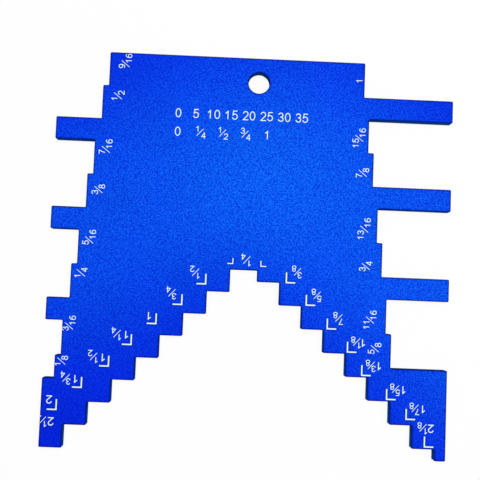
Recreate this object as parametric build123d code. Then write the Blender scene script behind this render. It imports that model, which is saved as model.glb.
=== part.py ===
from build123d import *
import os

# A height gauge for saw blades and router bits, cut from one flat aluminium plate.
# The plate lies on its back. X runs across it, Y from its feet to its hanging hole, Z out of its face.
# Lengths are in millimetres. The measuring steps are sixteenths, eighths and quarters of an inch.

# Plate
plate_thickness = 3.0
plate_height = 111.125
outer_corner_radius = 0.4
inner_corner_radius = 0.25
edge_break = 0.15

# Arch between the feet: a stair climbs to its flat top from each foot
tread_count = 8
tread_rise = 6.35
tread_run = 6.35
arch_top_width = 7.54
left_foot_width = 6.35
right_foot_width = 3.175
right_first_rise = 3.175

# Notches up both sides: their depths step by a sixteenth of an inch, with a tongue after each pair
levels_per_tongue = 2
notch_height = 9.525
tongue_height = 6.35
depth_step = 1.5875

# Left side, measured in from the outer face of the left foot
left_level_count = 8
left_block_height = 19.05
left_first_notch_height = 6.35
left_first_depth = 3.175

# Right side, measured in from the outer face of the right foot
right_level_count = 7
right_block_height = 25.0
right_first_depth = 15.875

# Hanging hole
hole_diameter = 6.0
hole_from_left = 56.8
hole_below_top = 7.1

# Corner marks beside the stairs, engraved in the face and filled with white
mark_depth = 0.15
mark_line_width = 0.5
mark_arm_across = 2.85
mark_arm_up = 3.15
small_mark_line_width = 0.4
small_mark_arm = 1.8

# Where each mark's outer corner lies from its inside corner of the stair, from the arch top downward.
# The places are shares of the tread's run and rise, read off the plate, which is printed unevenly.
left_mark_shares = (
    (0.12, 0.23),
    (-0.03, 0.28),
    (-0.04, 0.34),
    (-0.13, 0.46),
    (-0.17, 0.51),
    (-0.11, 0.54),
    (-0.24, 0.58),
    (-0.28, 0.59),
)
right_mark_shares = (
    (0.11, 0.16),
    (0.25, -0.02),
    (0.16, 0.03),
    (0.12, 0.03),
    (0.04, 0.05),
    (-0.30, 0.06),
    (-0.18, 0.06),
    (-0.30, 0.23),
    (-0.47, 0.07),
)

# Sizes that follow
arch_height = tread_count * tread_rise
arch_left = left_foot_width + (tread_count - 1) * tread_run
arch_right = arch_left + arch_top_width
plate_width = arch_right + tread_count * tread_run + right_foot_width


def left_stair():
    """Points from the left foot up to the arch top."""
    points = []
    for step in range(tread_count):
        riser = left_foot_width + step * tread_run
        points += [(riser, step * tread_rise), (riser, (step + 1) * tread_rise)]
    return points


def right_stair():
    """Points from the arch top down to the right foot. Its treads lie between the heights of the left ones."""
    treads = [right_first_rise + step * tread_rise for step in range(tread_count)]
    levels = [arch_height] + treads[::-1] + [0]
    points = []
    for step in range(tread_count + 1):
        riser = arch_right + step * tread_run
        points += [(riser, levels[step]), (riser, levels[step + 1])]
    return points


def side_notches(block_height, level_count, first_height, first_depth):
    """Points (depth from that side's outer face, height) from the foot up to the top edge."""
    points = [(0, 0), (0, block_height)]
    height = block_height
    for level in range(level_count):
        depth = first_depth + level * depth_step
        last = level == level_count - 1
        rise = first_height if level == 0 else notch_height
        top = plate_height if last else height + rise
        points += [(depth, height), (depth, top)]
        height = top
        if (level + 1) % levels_per_tongue == 0 and not last:
            points += [(0, height), (0, height + tongue_height)]
            height += tongue_height
    return points


def plate_outline():
    """The outline's corners, counter-clockwise from the left foot."""
    left = side_notches(left_block_height, left_level_count, left_first_notch_height, left_first_depth)
    right = side_notches(right_block_height, right_level_count, notch_height, right_first_depth)
    right_side = [(plate_width - depth, height) for depth, height in right]
    return left[:1] + left_stair() + right_stair() + right_side + left[:0:-1]


def corner_radii(corners):
    """One radius for each corner: the outside corners are rounder than the inside ones."""
    radii = []
    for index, (x, y) in enumerate(corners):
        before_x, before_y = corners[index - 1]
        after_x, after_y = corners[(index + 1) % len(corners)]
        turn = (x - before_x) * (after_y - y) - (y - before_y) * (after_x - x)
        radii.append(outer_corner_radius if turn > 0 else inner_corner_radius)
    return radii


def mark_shape(corner, across, up, line_width):
    """An L of two arms from its outer corner. A negative arm across points left."""
    side = 1 if across > 0 else -1
    x, y = corner
    return make_face(Polyline(
        (x, y),
        (x + across, y),
        (x + across, y + line_width),
        (x + side * line_width, y + line_width),
        (x + side * line_width, y + up),
        (x, y + up),
        close=True,
    ))


def mark_shapes():
    """The L marks of both stairs. The two beside the arch top are the small ones."""
    stairs = (
        (left_mark_shares, left_stair()[::-2], -1),
        (right_mark_shares, right_stair()[::2], 1),
    )
    shapes = []
    for shares, inside_corners, side in stairs:
        for index, (share_across, share_up) in enumerate(shares):
            x, y = inside_corners[index]
            corner = (x + share_across * tread_run, y + share_up * tread_rise)
            if index == 0:
                shapes.append(mark_shape(corner, side * small_mark_arm, small_mark_arm, small_mark_line_width))
            else:
                shapes.append(mark_shape(corner, side * mark_arm_across, mark_arm_up, mark_line_width))
    return shapes


def corner_marks():
    """The white filling of the L marks, level with the plate's face."""
    floor = plate_thickness - mark_depth
    return [extrude(Pos(0, 0, floor) * shape, amount=mark_depth) for shape in mark_shapes()]


def gauge_plate(marks):
    """The plate with its stairs, notches and hole, its edges lightly broken and its marks engraved."""
    corners = plate_outline()
    outline = FilletPolyline(*corners, radius=corner_radii(corners), close=True)
    face = make_face(outline)
    hole = Pos(hole_from_left, plate_height - hole_below_top) * Circle(hole_diameter / 2)
    plate = extrude(face - hole, amount=plate_thickness)
    levels = plate.edges().group_by(Axis.Z)
    plate = chamfer(levels[0] + levels[-1], edge_break)
    return plate - marks


def write(name, solids):
    """Centre the sub-part's frame on the plate's box and write it."""
    placed = Pos(-plate_width / 2, -plate_height / 2, 0) * Compound(children=solids, label=name)
    export_step(placed, f"parts/{name}.step")


os.makedirs("parts", exist_ok=True)
marks = corner_marks()
write("gauge_plate", gauge_plate(marks).solids())
write("corner_marks", [solid for mark in marks for solid in mark.solids()])
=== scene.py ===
import bpy
import bmesh
import math
from mathutils import Matrix, Vector
from mathutils.geometry import delaunay_2d_cdt


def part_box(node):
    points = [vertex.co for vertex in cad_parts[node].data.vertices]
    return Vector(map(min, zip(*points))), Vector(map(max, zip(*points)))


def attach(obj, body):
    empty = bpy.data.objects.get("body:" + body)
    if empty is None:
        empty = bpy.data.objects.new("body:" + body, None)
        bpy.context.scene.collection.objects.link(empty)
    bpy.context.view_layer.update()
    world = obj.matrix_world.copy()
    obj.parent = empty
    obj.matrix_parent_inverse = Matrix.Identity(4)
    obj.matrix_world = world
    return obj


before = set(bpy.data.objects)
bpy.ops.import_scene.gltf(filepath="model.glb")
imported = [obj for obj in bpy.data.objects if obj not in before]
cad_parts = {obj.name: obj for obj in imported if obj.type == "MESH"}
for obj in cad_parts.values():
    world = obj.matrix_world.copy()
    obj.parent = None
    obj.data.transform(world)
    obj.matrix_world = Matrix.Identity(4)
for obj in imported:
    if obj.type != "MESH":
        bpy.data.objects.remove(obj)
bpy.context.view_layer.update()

# A flat, blue anodised height gauge lies on a white floor. Its plate and the white filling of its
# corner marks come from the frame. This script gives both their materials, prints the numerals on
# the plate, and adds the camera, the floor and the light.

MM = 0.001
INCH = 25.4

# The plate, in millimetres
# Places on it are measured across from the outer face of its left foot and up from its feet.
PLATE_LOW, PLATE_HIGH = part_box("gauge_plate")
PLATE_HEIGHT = (PLATE_HIGH[1] - PLATE_LOW[1]) / MM
FACE = PLATE_HIGH[2] / MM
EDGE_BREAK = 0.15


def plate_point(x, y, z):
    """A point given in plate millimetres, in the row frame in metres."""
    return (PLATE_LOW[0] + x * MM, PLATE_LOW[1] + y * MM, z * MM)


# Camera
# It looks down on the plate from a little left of its middle and below it, as the photograph does.
# Its turn is a rotation vector: the axis, as long as the angle in degrees.
CAMERA_PLACE = (-0.00698, -0.01177, 0.23050)
CAMERA_TURN = (3.842, -1.070, 2.314)
CAMERA_LENS = 61.0
SENSOR_WIDTH = 36.0
NEAREST_SEEN = 0.01
FURTHEST_SEEN = 20.0

turn = Vector([math.radians(part) for part in CAMERA_TURN])
camera_data = bpy.data.cameras.new("camera")
camera_data.lens = CAMERA_LENS
camera_data.sensor_width = SENSOR_WIDTH
camera_data.clip_start = NEAREST_SEEN
camera_data.clip_end = FURTHEST_SEEN
camera = bpy.data.objects.new("camera", camera_data)
camera_turn = Matrix.Rotation(turn.length, 4, turn.normalized())
camera.matrix_world = Matrix.Translation(CAMERA_PLACE) @ camera_turn
bpy.context.scene.collection.objects.link(camera)
bpy.context.scene.camera = camera


# Materials

# Rays that feel for near edges from inside a solid, at each point that is shaded
EDGE_RAYS = 8


class Nodes:
    """Short calls for building one material's nodes."""

    def __init__(self, name):
        self.material = bpy.data.materials.new(name)
        self.material.use_nodes = True
        self.tree = self.material.node_tree
        self.shader = self.tree.nodes["Principled BSDF"]

    def add(self, kind, **settings):
        node = self.tree.nodes.new(kind)
        for key, value in settings.items():
            setattr(node, key, value)
        return node

    def link(self, source, target):
        self.tree.links.new(source, target)

    def place(self):
        """The object's own coordinates, in metres."""
        return self.add("ShaderNodeTexCoord").outputs["Object"]

    def noise(self, size_mm, detail=2.0, roughness=0.5):
        """Noise whose features are about this large."""
        node = self.add("ShaderNodeTexNoise", noise_dimensions="3D")
        self.link(self.place(), node.inputs["Vector"])
        node.inputs["Scale"].default_value = 1.0 / (size_mm * MM)
        node.inputs["Detail"].default_value = detail
        node.inputs["Roughness"].default_value = roughness
        return node.outputs["Fac"]

    def levelness(self):
        """1 where the surface faces straight up or down, and 0 where it stands upright."""
        normal = self.add("ShaderNodeSeparateXYZ")
        self.link(self.add("ShaderNodeTexCoord").outputs["Normal"], normal.inputs[0])
        return self.math("ABSOLUTE", normal.outputs["Z"])

    def openness(self, reach_mm):
        """1 away from the solid's edges, and lower where an edge is within reach."""
        node = self.add("ShaderNodeAmbientOcclusion", inside=True, samples=EDGE_RAYS)
        node.inputs["Distance"].default_value = reach_mm * MM
        return node.outputs["AO"]

    def span(self, value, low, high, to_low=0.0, to_high=1.0):
        """Values from low to high spread over to_low to to_high, clamped."""
        node = self.add("ShaderNodeMapRange", clamp=True)
        self.link(value, node.inputs["Value"])
        ends = {"From Min": low, "From Max": high, "To Min": to_low, "To Max": to_high}
        for socket, number in ends.items():
            node.inputs[socket].default_value = number
        return node.outputs["Result"]

    def mix(self, share, first, second):
        """One colour blended to another by a share. Each is a colour or another node's output."""
        node = self.add("ShaderNodeMix", data_type="RGBA")
        self.link(share, node.inputs[0])
        for socket, colour in ((node.inputs[6], first), (node.inputs[7], second)):
            if isinstance(colour, tuple):
                socket.default_value = (*colour, 1.0)
            else:
                self.link(colour, socket)
        return node.outputs[2]

    def math(self, operation, *values):
        """A sum or the like of numbers and other nodes' outputs."""
        node = self.add("ShaderNodeMath", operation=operation)
        for socket, value in zip(node.inputs, values):
            if isinstance(value, (int, float)):
                socket.default_value = value
            else:
                self.link(value, socket)
        return node.outputs[0]

    def bump(self, height, depth_mm, strength):
        """The material's surface rises by this depth from height 0 to height 1."""
        node = self.add("ShaderNodeBump")
        node.inputs["Strength"].default_value = strength
        node.inputs["Distance"].default_value = depth_mm * MM
        self.link(height, node.inputs["Height"])
        self.link(node.outputs["Normal"], self.shader.inputs["Normal"])


# The blasted grain and the wide, faint clouds in the dye, in millimetres. The grain has this share
# in the dye's unevenness, and the clouds have the rest.
GRAIN_SIZE = 0.44
GRAIN_DEPTH = 0.006
CLOUD_SIZE = 14.0
GRAIN_SHARE = 0.85

# Painted shade: the face is coloured darker, to navy, along the plate's edges, to this width in
# millimetres and by this share.
RIM_SHADE_WIDTH = 0.60
RIM_SHADE_SHARE = 0.85
FACE_GLOSS = 0.65


def blue_anodised():
    """Dyed, bead-blasted aluminium: deep blue under a sparkling azure sheen, with painted navy
    shade along its edges and painted darker teal shade on its upright walls."""
    deep = (0.0003, 0.0095, 0.55)
    clear = (0.0036, 0.0205, 0.97)
    # Painted shade: dark navy for the edge break and for a band of the face along the plate's
    # edges.
    rim_painted_shade = (0.0008, 0.006, 0.22)
    # Painted shade: the upright walls are coloured a darker teal for the shade they stand in.
    wall_painted_shade = (0.0055, 0.075, 0.26)
    dim_sheen = (0.001, 0.02, 0.20)
    bright_sheen = (0.008, 0.395, 0.49)
    # Painted darker reflection for the same edge break and band along the edges.
    rim_painted_dark_sheen = (0.003, 0.04, 0.07)

    n = Nodes("blue_anodised_grain")
    shader = n.shader.inputs
    grain = n.span(n.noise(GRAIN_SIZE, roughness=0.6), 0.305, 0.695)
    cloud = n.span(n.noise(CLOUD_SIZE, detail=3.0), 0.30, 0.70)
    grain_part = n.math("MULTIPLY", grain, GRAIN_SHARE)
    cloud_part = n.math("MULTIPLY", cloud, 1.0 - GRAIN_SHARE)
    dye = n.math("ADD", grain_part, cloud_part)

    level = n.levelness()
    # Mask of the painted edge shade: the band along the edges and the edge break.
    near_edge = n.span(n.openness(RIM_SHADE_WIDTH), 0.97, 0.70, 0.0, RIM_SHADE_SHARE)
    on_edge = n.span(level, 0.98, 0.8)
    on_painted_rim_shade = n.math("MAXIMUM", on_edge, near_edge)
    # Mask of the walls' painted shade: surfaces that stand upright.
    on_shaded_wall = n.span(level, 0.55, 0.25)

    face_colour = n.mix(on_painted_rim_shade, n.mix(dye, deep, clear), rim_painted_shade)
    face_sheen = n.mix(grain, dim_sheen, bright_sheen)
    n.link(n.mix(on_shaded_wall, face_colour, wall_painted_shade), shader["Base Color"])
    n.link(n.mix(on_painted_rim_shade, face_sheen, rim_painted_dark_sheen), shader["Specular Tint"])
    n.link(n.span(on_edge, 0.0, 1.0, FACE_GLOSS, 0.0), shader["Specular IOR Level"])
    n.link(n.span(grain, 0.0, 1.0, 0.25, 0.22), shader["Roughness"])
    n.bump(grain, GRAIN_DEPTH, 0.9)
    return n.material


# The marking shows a fainter, finer grain. The filling of an engraved line thins out where it is
# this close to the line's edges, in millimetres.
MARKING_GRAIN_SIZE = 0.22
MARKING_GRAIN_DEPTH = 0.003
FILLING_EDGE = 0.145
THIN_FILLING = (0.03, 0.22, 0.60)


def white_marking(name, dim, bright, thin_edges):
    """Matt white, a little uneven where it lies over the grain."""
    n = Nodes(name)
    shader = n.shader.inputs
    grain = n.span(n.noise(MARKING_GRAIN_SIZE), 0.35, 0.65)
    colour = n.mix(grain, dim, bright)
    if thin_edges:
        near_edge = n.span(n.openness(FILLING_EDGE), 0.98, 0.75)
        colour = n.mix(near_edge, colour, THIN_FILLING)
    n.link(colour, shader["Base Color"])
    n.link(n.span(grain, 0.0, 1.0, 0.65, 0.5), shader["Roughness"])
    shader["Specular IOR Level"].default_value = 0.4
    n.bump(grain, MARKING_GRAIN_DEPTH, 0.4)
    return n.material


# The floor glows where it is seen, so that it is as white as the photograph's background. Near the
# plate this share glows, and the rest shows the shadow. From one distance to the other, in metres,
# the glow grows to the whole.
FLOOR_SPECK_SIZE = 3.0
NEAR_GLOW = 0.90
SHADOW_REACH = 0.12
PLAIN_REACH = 0.50


def white_floor():
    """A white floor that keeps a soft share of the shadow, and is plain white further out."""
    n = Nodes("studio_floor")
    shader = n.shader.inputs
    speck = n.span(n.noise(FLOOR_SPECK_SIZE), 0.3, 0.7)
    n.link(n.mix(speck, (0.95, 0.95, 0.95), (0.98, 0.98, 0.98)), shader["Base Color"])
    shader["Roughness"].default_value = 0.9
    shader["Specular IOR Level"].default_value = 0.0
    rays = n.add("ShaderNodeLightPath").outputs
    seen = n.math("MAXIMUM", rays["Is Camera Ray"], rays["Is Glossy Ray"])
    seen = n.math("MAXIMUM", seen, rays["Is Transmission Ray"])
    glow = n.add("ShaderNodeEmission")
    blend = n.add("ShaderNodeMixShader")
    distance = n.add("ShaderNodeVectorMath", operation="LENGTH")
    n.link(n.place(), distance.inputs[0])
    share = n.span(distance.outputs["Value"], SHADOW_REACH, PLAIN_REACH, NEAR_GLOW, 1.0)
    n.link(n.math("MULTIPLY", seen, share), blend.inputs[0])
    n.link(n.shader.outputs[0], blend.inputs[1])
    n.link(glow.outputs[0], blend.inputs[2])
    n.link(blend.outputs[0], n.tree.nodes["Material Output"].inputs["Surface"])
    return n.material


blue = blue_anodised()
white_print = white_marking("white_marking_print", (0.78, 1.0, 0.93), (0.84, 1.0, 0.95), False)
white_filling = white_marking("white_marking_fill", (0.85, 1.0, 0.98), (0.90, 1.0, 0.99), True)
for node, finish in (("gauge_plate", blue), ("corner_marks", white_filling)):
    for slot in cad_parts[node].material_slots:
        slot.material = finish


# Numerals: every figure is drawn as strokes in a box whose sides are 1, widened to the pen's width.

def arc(cx, cy, rx, ry, start, end, steps=14):
    """Points along an ellipse's arc, angles in degrees."""
    angles = [math.radians(start + (end - start) * i / steps) for i in range(steps + 1)]
    return [(cx + rx * math.cos(a), cy + ry * math.sin(a)) for a in angles]


FIGURES = {
    "0": [arc(0.5, 0.5, 0.5, 0.5, 0, 360, 24)],
    "1": [[(0.5, 0.04), (0.5, 0.96)], [(0.5, 0.93), (0.10, 0.72)]],
    "2": [arc(0.5, 0.71, 0.48, 0.29, 165, -32) + [(0.06, 0.02)], [(0.0, 0.0), (1.0, 0.0)]],
    "3": [arc(0.48, 0.75, 0.42, 0.25, 160, -90), arc(0.48, 0.26, 0.5, 0.26, 90, -165)],
    "4": [[(0.76, 0.0), (0.76, 1.0)], [(0.74, 0.98), (0.0, 0.30)], [(0.0, 0.28), (1.0, 0.28)]],
    "5": [
        [(0.92, 1.0), (0.20, 1.0)],
        [(0.22, 0.98), (0.10, 0.50)],
        arc(0.48, 0.32, 0.52, 0.32, 140, -155),
    ],
    "6": [arc(0.5, 0.31, 0.5, 0.31, 0, 360, 22), arc(0.60, 0.42, 0.60, 0.58, 185, 62)],
    "7": [[(0.0, 1.0), (1.0, 1.0)], [(0.98, 0.98), (0.55, 0.45), (0.36, 0.06)]],
    "8": [arc(0.5, 0.76, 0.40, 0.24, 0, 360, 20), arc(0.5, 0.26, 0.50, 0.26, 0, 360, 20)],
    "9": [arc(0.5, 0.69, 0.5, 0.31, 0, 360, 22), arc(0.40, 0.58, 0.60, 0.58, 5, -118)],
    "/": [[(0.0, 0.0), (1.0, 1.0)]],
}

# A stroke is closed where its ends are this close, and at a sharp turn its corner reaches out to no
# more than this many half pens. Shapes are fused with points this close merged, in millimetres.
SAME_PLACE = 1e-9
LONGEST_MITRE = 2.0
MERGE_DISTANCE = 1e-5


def widened(stroke, pen):
    """A stroke's run as quads of the pen's width, mitred where it turns and square at its ends."""
    closed = math.dist(stroke[0], stroke[-1]) < SAME_PLACE
    points = [Vector(p) for p in (stroke[:-1] if closed else stroke)]
    count = len(points)
    run_count = count if closed else count - 1
    runs = [(points[(i + 1) % count] - points[i]).normalized() for i in range(run_count)]
    left, right = [], []
    for i in range(count):
        before = runs[i - 1] if closed or i > 0 else runs[0]
        after = runs[i % run_count] if closed or i < run_count else runs[-1]
        side = Vector((-before.y - after.y, before.x + after.x)).normalized()
        reach = pen / 2 / max(1 / LONGEST_MITRE, side.dot(Vector((-before.y, before.x))))
        middle = points[i]
        if not closed and i == 0:
            middle = middle - runs[0] * pen / 2
        if not closed and i == count - 1:
            middle = middle + runs[-1] * pen / 2
        left.append(middle + side * reach)
        right.append(middle - side * reach)
    quads = []
    for i in range(run_count):
        j = (i + 1) % count
        quads.append([right[i], right[j], left[j], left[i]])
    return quads


def figure(character, centre, width, height, pen):
    """The quads of one figure whose box, the pen's width included, is centred on a point."""
    across, up = width - pen, height - pen
    corner = (centre[0] - across / 2, centre[1] - up / 2)
    quads = []
    for stroke in FIGURES[character]:
        run = [(corner[0] + x * across, corner[1] + y * up) for x, y in stroke]
        quads += widened(run, pen)
    return quads


def trimmed(polygon, axis, limit, keep_below):
    """The part of a convex polygon on one side of a line along the plate's X or Y."""
    def depth(point):
        return limit - point[axis] if keep_below else point[axis] - limit
    kept = []
    for i, point in enumerate(polygon):
        last = polygon[i - 1]
        if (depth(point) >= 0) != (depth(last) >= 0):
            kept.append(last.lerp(point, depth(last) / (depth(last) - depth(point))))
        if depth(point) >= 0:
            kept.append(point)
    return kept if len(kept) > 2 else []


def fuse(polygons):
    """One flat shape from overlapping polygons, as points and triangles."""
    points, faces = [], []
    for polygon in polygons:
        faces.append(list(range(len(points), len(points) + len(polygon))))
        points += [Vector((p[0], p[1])) for p in polygon]
    fused = delaunay_2d_cdt(points, [], faces, 0, MERGE_DISTANCE)
    fused_points, _, fused_faces, _, _, source_faces = fused
    triangles = [face for face, sources in zip(fused_faces, source_faces) if sources]
    return fused_points, triangles


# The printed ink stands this proud of the face, and is sunk this far into it, in millimetres.
INK_PROUD = 0.02
INK_SUNK = 0.02


def ink(name, characters):
    """Prints one piece on the plate's face: a closed, thin body for each character's quads."""
    bm = bmesh.new()
    low, high = FACE - INK_SUNK, FACE + INK_PROUD
    for quads in characters:
        points, triangles = fuse(quads)
        used = sorted({corner for tri in triangles for corner in tri})
        bottom = {i: bm.verts.new(plate_point(points[i].x, points[i].y, low)) for i in used}
        top = {i: bm.verts.new(plate_point(points[i].x, points[i].y, high)) for i in used}
        edges = {(tri[k], tri[(k + 1) % 3]) for tri in triangles for k in range(3)}
        for tri in triangles:
            bm.faces.new([top[i] for i in tri])
            bm.faces.new([bottom[i] for i in reversed(tri)])
        for a, b in edges:
            if (b, a) not in edges:
                bm.faces.new([bottom[a], bottom[b], top[b], top[a]])
    mesh = bpy.data.meshes.new(name)
    bm.to_mesh(mesh)
    bm.free()
    piece = bpy.data.objects.new(name, mesh)
    bpy.context.scene.collection.objects.link(piece)
    mesh.materials.append(white_print)
    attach(piece, "root")


# Labels
# A fraction is set in millimetres along and above its own reading line, from its slash's middle.
# The widths and heights of the figures include the pen's width.
FIGURE_WIDTH = 1.18
FIGURE_STEP = 1.40
FRACTION_PEN = 0.195
SLASH_PEN = 0.155

SIDE_FIGURE_HEIGHT = 1.83
SIDE_SLASH = (1.85, 2.30)
SIDE_UPPER = (-0.72, 1.00)
SIDE_LOWER = (0.92, -0.88)

ARCH_FIGURE_HEIGHT = 1.74
ARCH_SLASH = (1.91, 2.09)
ARCH_UPPER = (-0.62, 0.96)
ARCH_LOWER = (0.98, -0.90)

WHOLE_WIDTH = 1.58
WHOLE_HEIGHT = 2.26
WHOLE_PEN = 0.255
WHOLE_ABOVE_SLASH = 0.20

# Reading directions: the side figures read up the plate, and the arch figures read upside down.
READS_UP = (0.0, 1.0)
READS_BACK = (-1.0, 0.0)
READS_ACROSS = (1.0, 0.0)


def set_out(parts, place, reads, limits=()):
    """Characters given as (figure, along, above, width, height, pen), set at a place along a
    reading direction and cut at the limits."""
    along, above = Vector(reads), Vector((-reads[1], reads[0]))
    characters = []
    for character, x, y, width, height, pen in parts:
        quads = []
        for quad in figure(character, (x, y), width, height, pen):
            polygon = [Vector(place) + along * p.x + above * p.y for p in quad]
            for axis, limit, keep_below in limits:
                polygon = trimmed(polygon, axis, limit, keep_below)
            if polygon:
                quads.append(polygon)
        if quads:
            characters.append(quads)
    return characters


def fraction(text, height, slash, upper_place, lower_place):
    """The parts of a label such as "7/16". Its upper number ends at the upper place, and its lower
    number starts at the lower place."""
    upper, lower = text.split("/")
    parts = [("/", 0.0, 0.0, slash[0], slash[1], SLASH_PEN)]
    for i, digit in enumerate(reversed(upper)):
        along = upper_place[0] - i * FIGURE_STEP
        parts.append((digit, along, upper_place[1], FIGURE_WIDTH, height, FRACTION_PEN))
    for i, digit in enumerate(lower):
        along = lower_place[0] + i * FIGURE_STEP
        parts.append((digit, along, lower_place[1], FIGURE_WIDTH, height, FRACTION_PEN))
    return parts


def side_label(text, place, limits=(), spread=0.0):
    """A label such as "7/16" beside a side level. The spread moves its numbers from the slash."""
    if "/" in text:
        upper_place = (SIDE_UPPER[0] - spread, SIDE_UPPER[1])
        lower_place = (SIDE_LOWER[0] + spread, SIDE_LOWER[1])
        parts = fraction(text, SIDE_FIGURE_HEIGHT, SIDE_SLASH, upper_place, lower_place)
    else:
        parts = [(text, 0.0, 0.0, FIGURE_WIDTH, SIDE_FIGURE_HEIGHT, FRACTION_PEN)]
    return set_out(parts, place, READS_UP, limits)


def arch_label(text, place, whole_back=0.0, limits=(), lift=0.0):
    """A label such as "1 3/4" beside a stair. Its whole number stands back from the slash, and the
    lift raises the number after the slash."""
    whole, part = text.split(" ") if " " in text else ("", text)
    if "/" in part:
        lower_place = (ARCH_LOWER[0], ARCH_LOWER[1] + lift)
        parts = fraction(part, ARCH_FIGURE_HEIGHT, ARCH_SLASH, ARCH_UPPER, lower_place)
    else:
        parts = [(part, 0.0, 0.0, WHOLE_WIDTH, WHOLE_HEIGHT, WHOLE_PEN)]
    if whole:
        parts.append((whole, -whole_back, WHOLE_ABOVE_SLASH, WHOLE_WIDTH, WHOLE_HEIGHT, WHOLE_PEN))
    return set_out(parts, place, READS_BACK, limits)


# Labels that run off the plate end at its broken edge: at the top, at the left foot, or at one of
# the first two levels of the left side, which lie 1/8 and 3/16 inch in. Each limit is a line given
# as (axis that it crosses, place on that axis, whether the side below the place is kept).
TOP_EDGE = (1, PLATE_HEIGHT - EDGE_BREAK, True)
FOOT_EDGE = (0, EDGE_BREAK, False)
FIRST_LEVEL_EDGE = (0, INCH / 8 + EDGE_BREAK, False)
SECOND_LEVEL_EDGE = (0, INCH * 3 / 16 + EDGE_BREAK, False)

# Most labels on the right of the arch have the number after their slash this much higher.
LIFT = 0.28

# Each label's slash, or its one figure, is centred on a place: millimetres across and up the plate.
left_labels = (
    side_label("9/16", (18.70, 107.90), (TOP_EDGE,)),
    side_label("1/2", (17.02, 98.57)),
    side_label("7/16", (14.35, 83.15)),
    side_label("3/8", (12.88, 71.70)),
    side_label("5/16", (11.02, 57.43)),
    side_label("1/4", (9.23, 48.15)),
    side_label("3/16", (6.69, 33.33), (SECOND_LEVEL_EDGE,)),
    side_label("1/8", (5.08, 23.63), (FIRST_LEVEL_EDGE,)),
)
right_labels = (
    side_label("1", (85.32, 106.02)),
    side_label("15/16", (85.78, 89.42)),
    side_label("7/8", (87.07, 79.47)),
    side_label("13/16", (87.95, 63.65), spread=0.24),
    side_label("3/4", (88.73, 53.12)),
    side_label("11/16", (90.33, 38.22), spread=-0.20),
    side_label("5/8", (91.90, 30.33), spread=0.16),
)
left_arch_labels = (
    arch_label("1/4", (55.24, 53.64)),
    arch_label("1/2", (41.09, 49.62)),
    arch_label("3/4", (34.74, 43.64)),
    arch_label("1", (28.52, 37.00)),
    arch_label("1 1/4", (20.06, 31.73), 2.40),
    arch_label("1 1/2", (13.93, 25.21), 2.40),
    arch_label("1 3/4", (6.66, 19.07), 2.40),
    arch_label("2", (2.30, 13.00)),
    arch_label("2 1/4", (0.77, 7.26), 2.30, (FOOT_EDGE,)),
)
right_arch_labels = (
    arch_label("3/8", (69.56, 50.88)),
    arch_label("5/8", (75.31, 44.57)),
    arch_label("7/8", (81.57, 38.47), lift=LIFT / 2),
    arch_label("1 1/8", (86.76, 31.99), 1.64, lift=LIFT),
    arch_label("1 3/8", (91.05, 25.72), 1.99, lift=LIFT),
    arch_label("1 5/8", (98.02, 19.42), 2.03, lift=LIFT),
    arch_label("1 7/8", (103.59, 14.35), 2.06, lift=LIFT),
    arch_label("2 1/8", (105.93, 9.07), 2.15, lift=LIFT),
)

# Two plain rows of numbers stand where the photographed object has words: millimetres over inches.
ROW_LEFT = 33.5
MILLIMETRE_ROW = 94.5
MILLIMETRE_SPACING = 5.0
INCH_ROW = 89.2
INCH_SPACING = INCH / 4
ROW_WIDTH = 1.60
ROW_STEP = 1.95
ROW_FIGURE_HEIGHT = 2.60
ROW_PEN = 0.245


def number_row(numbers, spacing, height):
    """Numbers at even steps along one line, whole ones or fractions."""
    characters = []
    for i, number in enumerate(numbers):
        place = (ROW_LEFT + ROW_WIDTH / 2 + i * spacing, height)
        if "/" in number:
            parts = fraction(number, ARCH_FIGURE_HEIGHT, ARCH_SLASH, ARCH_UPPER, ARCH_LOWER)
        else:
            start = -(len(number) - 1) / 2
            parts = []
            for k, digit in enumerate(number):
                along = (start + k) * ROW_STEP
                parts.append((digit, along, 0.0, ROW_WIDTH, ROW_FIGURE_HEIGHT, ROW_PEN))
        characters += set_out(parts, place, READS_ACROSS)
    return characters


millimetre_numbers = ("0", "5", "10", "15", "20", "25", "30", "35")
inch_numbers = ("0", "1/4", "1/2", "3/4", "1")
row_numbers = number_row(millimetre_numbers, MILLIMETRE_SPACING, MILLIMETRE_ROW)
row_numbers += number_row(inch_numbers, INCH_SPACING, INCH_ROW)

ink("left_side_numbers", [character for label in left_labels for character in label])
ink("right_side_numbers", [character for label in right_labels for character in label])
arch_labels = left_arch_labels + right_arch_labels
ink("arch_numbers", [character for label in arch_labels for character in label])
ink("row_numbers", row_numbers)

# Floor: a square of this half width in metres, this far under the plate in millimetres
FLOOR_HALF = 3.0
FLOOR_GAP = 0.05

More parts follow.
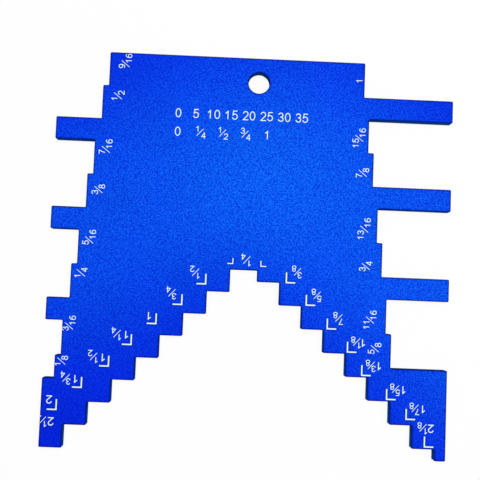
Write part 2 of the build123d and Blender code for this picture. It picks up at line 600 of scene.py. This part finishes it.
signs = ((-1, -1), (1, -1), (1, 1), (-1, 1))
corners = [(x * FLOOR_HALF, y * FLOOR_HALF, -FLOOR_GAP * MM) for x, y in signs]
floor_mesh = bpy.data.meshes.new("floor")
floor_mesh.from_pydata(corners, [], [(0, 1, 2, 3)])
floor_mesh.materials.append(white_floor())
floor = bpy.data.objects.new("floor", floor_mesh)
bpy.context.scene.collection.objects.link(floor)

# Two soft boxes face straight down from this height in metres. Each is (place across, place up,
# length, width, turn in degrees, watts).
LAMP_HEIGHT = 0.60
SOFT_BOXES = (
    (-0.093, 0.086, 0.325, 0.187, 31.5, 1.24),
    (0.186, 0.032, 0.430, 0.200, -38.0, 2.12),
)

for number, (across, up, length, width, angle, watts) in enumerate(SOFT_BOXES, 1):
    lamp_data = bpy.data.lights.new("soft_box_%d" % number, "AREA")
    lamp_data.shape = "RECTANGLE"
    lamp_data.size = length
    lamp_data.size_y = width
    lamp_data.energy = watts
    lamp = bpy.data.objects.new("soft_box_%d" % number, lamp_data)
    lamp.location = (across, up, LAMP_HEIGHT)
    lamp.rotation_euler = (0.0, 0.0, math.radians(angle))
    bpy.context.scene.collection.objects.link(lamp)

# The world lights softly, is dimmer in reflections, and is white where the camera sees it.
WORLD_STRENGTH = 0.22
WORLD_REFLECTED = 0.12

world = bpy.data.worlds.new("studio")
world.use_nodes = True
tree = world.node_tree
background = tree.nodes["Background"]
background.inputs["Color"].default_value = (1.0, 1.0, 1.0, 1.0)
rays = tree.nodes.new("ShaderNodeLightPath")
reflected = tree.nodes.new("ShaderNodeMapRange")
reflected.inputs["To Min"].default_value = WORLD_STRENGTH
reflected.inputs["To Max"].default_value = WORLD_REFLECTED
brightest = tree.nodes.new("ShaderNodeMath")
brightest.operation = "MAXIMUM"
tree.links.new(rays.outputs["Is Glossy Ray"], reflected.inputs["Value"])
tree.links.new(reflected.outputs["Result"], brightest.inputs[0])
tree.links.new(rays.outputs["Is Camera Ray"], brightest.inputs[1])
tree.links.new(brightest.outputs[0], background.inputs["Strength"])
bpy.context.scene.world = world

bpy.context.scene.view_settings.view_transform = "Standard"
